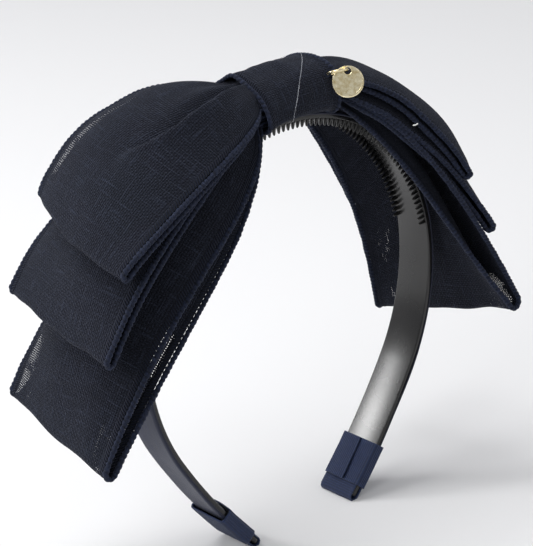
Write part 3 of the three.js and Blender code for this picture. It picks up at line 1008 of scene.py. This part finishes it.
knot = {
    "half": 14,
    "flare": 0.025,
    "waistHeight": 5,
    "cloth": 0.5,
    "hemCloth": 0.8,
    "ropeRadius": 0.72,
    "perimeter": 84,
    # soft folds: depth, how many along the knot, how far they wander round it, phase
    "folds": ((0.3, 0.42, 1.3, 0), (0.16, 0.95, 2.1, 1)),
    "foldShare": 0.6,
    "belly": 0.3,
    "slack": 0.12,
    "grid": (260, 73),
    # sections (y, z) at the two mouths; the wrap twists forward from left to right
    "left": ((0, 3), (6, 3.1), (10, 3.4), (13.2, 4.4), (14.3, 6.4), (13.6, 9.2), (11, 12.4), (6.2, 15.9),
             (1.4, 18.4), (-4, 17), (-9.5, 14.4), (-12.6, 11.8), (-14.8, 8.2), (-15, 5.2), (-12.6, 3.7),
             (-9, 3.1), (-5, 3)),
    "right": ((0, 3), (6, 3.1), (10, 3.4), (13.2, 4.6), (14.6, 7), (13.8, 10.4), (11, 13.6), (6.5, 16.6),
              (1, 18.3), (-4, 18.8), (-9.3, 18.2), (-13, 16.2), (-15.1, 12), (-15.3, 6.6), (-13.2, 3.9),
              (-9, 3.1), (-5, 3)),
}


def bandDrop(x):
    # how far the crown has fallen away at x
    radius = band["arcs"][0][0]
    return radius - np.sqrt(radius ** 2 - x ** 2)


def knotPlace(x, turn, lift):
    # turn runs from 0 to 1 round the knot
    count = 400
    lines = [through(knot[side], count + 1, closed=True) for side in ("left", "right")]
    at = np.mod(turn, 1) * count
    share = x / knot["half"] / 2 + 0.5
    y, z, ny, nz = (0 * x for _ in range(4))
    for line, weight in zip(lines, (1 - share, share)):
        heading = unit(np.roll(line[:-1], -1, 0) - np.roll(line[:-1], 1, 0))
        heading = np.vstack([heading, heading[:1]])
        steps = np.arange(count + 1)
        y = y + weight * np.interp(at, steps, line[:, 0])
        z = z + weight * np.interp(at, steps, line[:, 1])
        ny = ny + weight * np.interp(at, steps, heading[:, 1])
        nz = nz - weight * np.interp(at, steps, heading[:, 0])
    flare = 1 + knot["flare"] * (x / knot["half"]) ** 2
    high = smooth(knot["waistHeight"] - 2, knot["waistHeight"] + 4, z)
    z = z * mix(1, flare, high) - bandDrop(x) * (1 - high * 0.5)
    y = y * flare
    return np.stack([x, y + ny * lift, z + nz * lift], -1), np.stack([0 * x, ny, nz], -1)


def buildKnot():
    around, lengthwise = knot["grid"]
    turn, x = np.meshgrid(np.arange(around) / around, np.linspace(-knot["half"], knot["half"], lengthwise),
                          indexing="ij")
    angle = turn * math.tau
    place, outward = knotPlace(x, turn, 0 * x)
    high = smooth(4, 13, place[..., 2])
    # soft folds run round the knot where the ribbon was drawn tight
    folds = sum(depth * np.cos(x * pace + sway * np.sin(angle + phase))
                for depth, pace, sway, phase in knot["folds"])
    belly = knot["belly"] * (1 - (x / knot["half"]) ** 2)
    lift = (folds * knot["foldShare"] + belly) * high + knot["slack"] * softNoise(x, angle * 14, 6, 8)
    thick = mix(knot["cloth"], knot["hemCloth"], smooth(0.86, 0.9, np.abs(x) / knot["half"]))
    top = place + outward * lift[..., None]
    bottom = place + outward * (lift - thick)[..., None]
    cloth = listed(x, turn * knot["perimeter"], knot["half"] - np.abs(x))
    made = clothPiece("knot_linen", top, bottom, cloth, closeRows=True)
    finishPiece(made, finishes["linen"], ["knot_wrap"])
    for side, label in ((-1, "left"), (1, "right")):
        turn = np.linspace(0, 1, around + 1)
        line, facing = knotPlace(0 * turn + side * knot["half"], turn, 0 * turn - 0.15)
        line[:, 0] += side * 0.45
        rope(f"knot_{label}", line, facing, 0 * turn + knot["ropeRadius"])


buildKnot()
print("knot made")


def strand(name, line, radius, material, nodes, sides=10, ply=0.0):
    # a round thread; ply is how deep the grooves between its twisted plies are
    line = np.asarray(line, float)
    heading = unit(np.gradient(line, axis=0))
    start = np.array([0.3, 0.2, 1.0])
    facing = [unit(np.cross(heading[0], start))]
    for direction in heading[1:]:
        facing.append(unit(facing[-1] - direction * (facing[-1] @ direction)))
    facing = np.array(facing)
    beside = np.cross(heading, facing)
    run = lengthsAlong(line)[:, None]
    angle = np.arange(sides)[None, :] * math.tau / sides
    twist = np.abs(np.sin(angle * 1.5 + run * 2.2))
    reach = radius * (1 - ply + ply * twist)
    # both ends are rounded off
    toEnd = (np.minimum(run, run[-1] - run) / radius).clip(0, 1)
    ends = np.sqrt(np.clip(1 - (1 - toEnd) ** 2, 0.06, 1))
    rings = line[:, None] + facing[:, None] * (np.cos(angle) * reach * ends)[..., None]
    rings = rings + beside[:, None] * (np.sin(angle) * reach * ends)[..., None]
    points, faces = tube(rings)
    made = fixNormals(toMesh(name, points, faces, listed(angle, run, twist)))
    finishPiece(made, material, nodes)


clearThread = {
    "radius": 0.11,
    # slung from between two comb teeth, slanting over the knot towards its right mouth
    "route": ((-1.2, 0, -0.45), (-1.2, -5.5, -0.5), (-1.3, -7.5, 0.6), (-3, -11.6, 2.6), (-5, -15.4, 4.2),
              (-4.8, -16.1, 7.2), (-3.2, -15.7, 11), (-0.4, -13.8, 14.9), (4.2, -10, 18), (9.4, -4.6, 19.4),
              (12.6, 0.5, 19.1), (12, 6.8, 16.6), (9, 11.6, 13.2), (5.4, 14.3, 9.4), (2, 15, 6),
              (-0.2, 12.6, 3.3), (-1.2, 7.6, 0.6), (-1.2, 5.5, -0.5), (-1.2, 0.4, -0.45)),
}
strand("clear_thread_line", through(clearThread["route"], 300), clearThread["radius"],
       finishes["nylon"], ["clear_thread"])

tack = {"start": (37.2, -25.1, -6), "length": 2.2, "bow": 0.35, "rise": 0.1, "radius": 0.24}
tackLine = [np.array(tack["start"])
            + [tack["length"] * share, -tack["bow"] * math.sin(math.pi * share), tack["rise"] * share]
            for share in np.linspace(0, 1, 16)]
strand("tacking_bar", tackLine, tack["radius"], finishes["whiteThread"],
       ["tacking_stitch"], ply=0.2)
print("threads made")


charm = {
    "ringCentre": (12.7, -17.3, 16.3),
    "ringOut": (0.702, -0.689, 0.179),
    "ringNormal": (0.16, 0.398, 0.903),
    "ringRadius": 3.1,
    "ringWire": 0.42,
    "discRadius": 5,
    "discThickness": 0.9,
    "discHole": 1.1,
    "discHoleOffset": 3.4,
    "discNormal": (-0.64, -0.73, 0.24),
    "hangGap": 0.36,              # between the wire and the hole's upper edge
    "dents": 0.05,
    # from the hole to the rim: share of the way, and height as a share of half the thickness
    "profile": ((0.0, 0.0), (0.0, 0.62), (0.03, 0.84), (0.07, 0.9),
                *((share, 0.86) for share in np.linspace(0.12, 0.86, 22)),
                (0.885, 0.9), (0.91, 0.99), (0.94, 1.0), (0.97, 0.93), (0.992, 0.7), (1.0, 0.35)),
    "wraps": 4,
    "wrapWidth": 1.1,
    "wrapReach": 0.78,
    "wrapUneven": 0.12,
    "threadRadius": 0.17,
}
ringCentre = np.array(charm["ringCentre"], float)
ringOut = unit(np.array(charm["ringOut"]))
ringSide = unit(np.cross(unit(np.array(charm["ringNormal"])), ringOut))
ringNormal = unit(np.cross(ringOut, ringSide))
discNormal = unit(np.array(charm["discNormal"]))
discUp = unit(np.array([0, 0, 1]) - discNormal * discNormal[2])
discAcross = np.cross(discUp, discNormal)


def buildRing():
    # an open wire ring whose two ends meet with a hair's gap on the knot's side
    angle = np.radians(np.linspace(-160, 197, 110))[:, None]
    centre = ringCentre + charm["ringRadius"] * (ringOut * np.cos(angle) + ringSide * np.sin(angle))
    outward = ringOut * np.cos(angle) + ringSide * np.sin(angle)
    around = np.arange(14)[None, :] * math.tau / 14
    rings = centre[:, None] + charm["ringWire"] * (outward[:, None] * np.cos(around)[..., None]
                                                   + ringNormal * np.sin(around)[..., None])
    made = fixNormals(toMesh("jump_ring_wire", *tube(rings)))
    finishPiece(made, finishes["ring"], ["jump_ring"], "ring")


def buildDisc():
    hang = ringCentre + charm["ringRadius"] * ringOut
    hole = hang + discUp * (charm["ringWire"] + charm["hangGap"] - charm["discHole"])
    centre = hole - discUp * charm["discHoleOffset"]
    around = np.arange(96) * math.tau / 96
    rim, bore = charm["discRadius"], charm["discHole"]
    outer = np.stack([rim * np.cos(around), rim * np.sin(around)], 1)
    inner = np.stack([bore * np.cos(around), bore * np.sin(around) + charm["discHoleOffset"]], 1)
    half = charm["discThickness"] / 2
    front = list(charm["profile"])
    back = [(share, -height) for share, height in front[::-1]]
    loops = []
    for share, height in front + back[:-1]:
        flat = mix(inner, outer, share)
        inField = smooth(0.08, 0.16, share) * (1 - smooth(0.82, 0.88, share))
        dents = charm["dents"] * softNoise(flat[:, 0], flat[:, 1], 1.5, 31) * inField * np.sign(height)
        loops.append(centre + discAcross * flat[:, :1] + discUp * flat[:, 1:]
                     + discNormal * (height * half + dents)[:, None])
    grid = np.array(loops)
    faces = gridFaces(len(grid), len(around), True, True)
    made = fixNormals(toMesh("charm_medal", grid.reshape(-1, 3), faces))
    finishPiece(made, finishes["charm"], ["charm_disc"], "charm")


def buildSewing():
    # four turns of navy thread lash the ring to the knot's edge
    centre = ringCentre - charm["ringRadius"] * ringOut
    angle = np.linspace(0.02, charm["wraps"] - 0.02, 180)[:, None] * math.tau
    step = (angle / math.tau / charm["wraps"] - 0.5) * charm["wrapWidth"]
    outward = ringOut * np.cos(angle) + ringNormal * np.sin(angle)
    reach = charm["wrapReach"] + charm["wrapUneven"] * np.sin(angle * 0.37)
    strand("charm_sewing", centre + outward * reach + ringSide * step, charm["threadRadius"],
           finishes["edging"], ["charm_stitch"], sides=8, ply=0.2)


buildRing()
buildDisc()
buildSewing()
print("charm made")
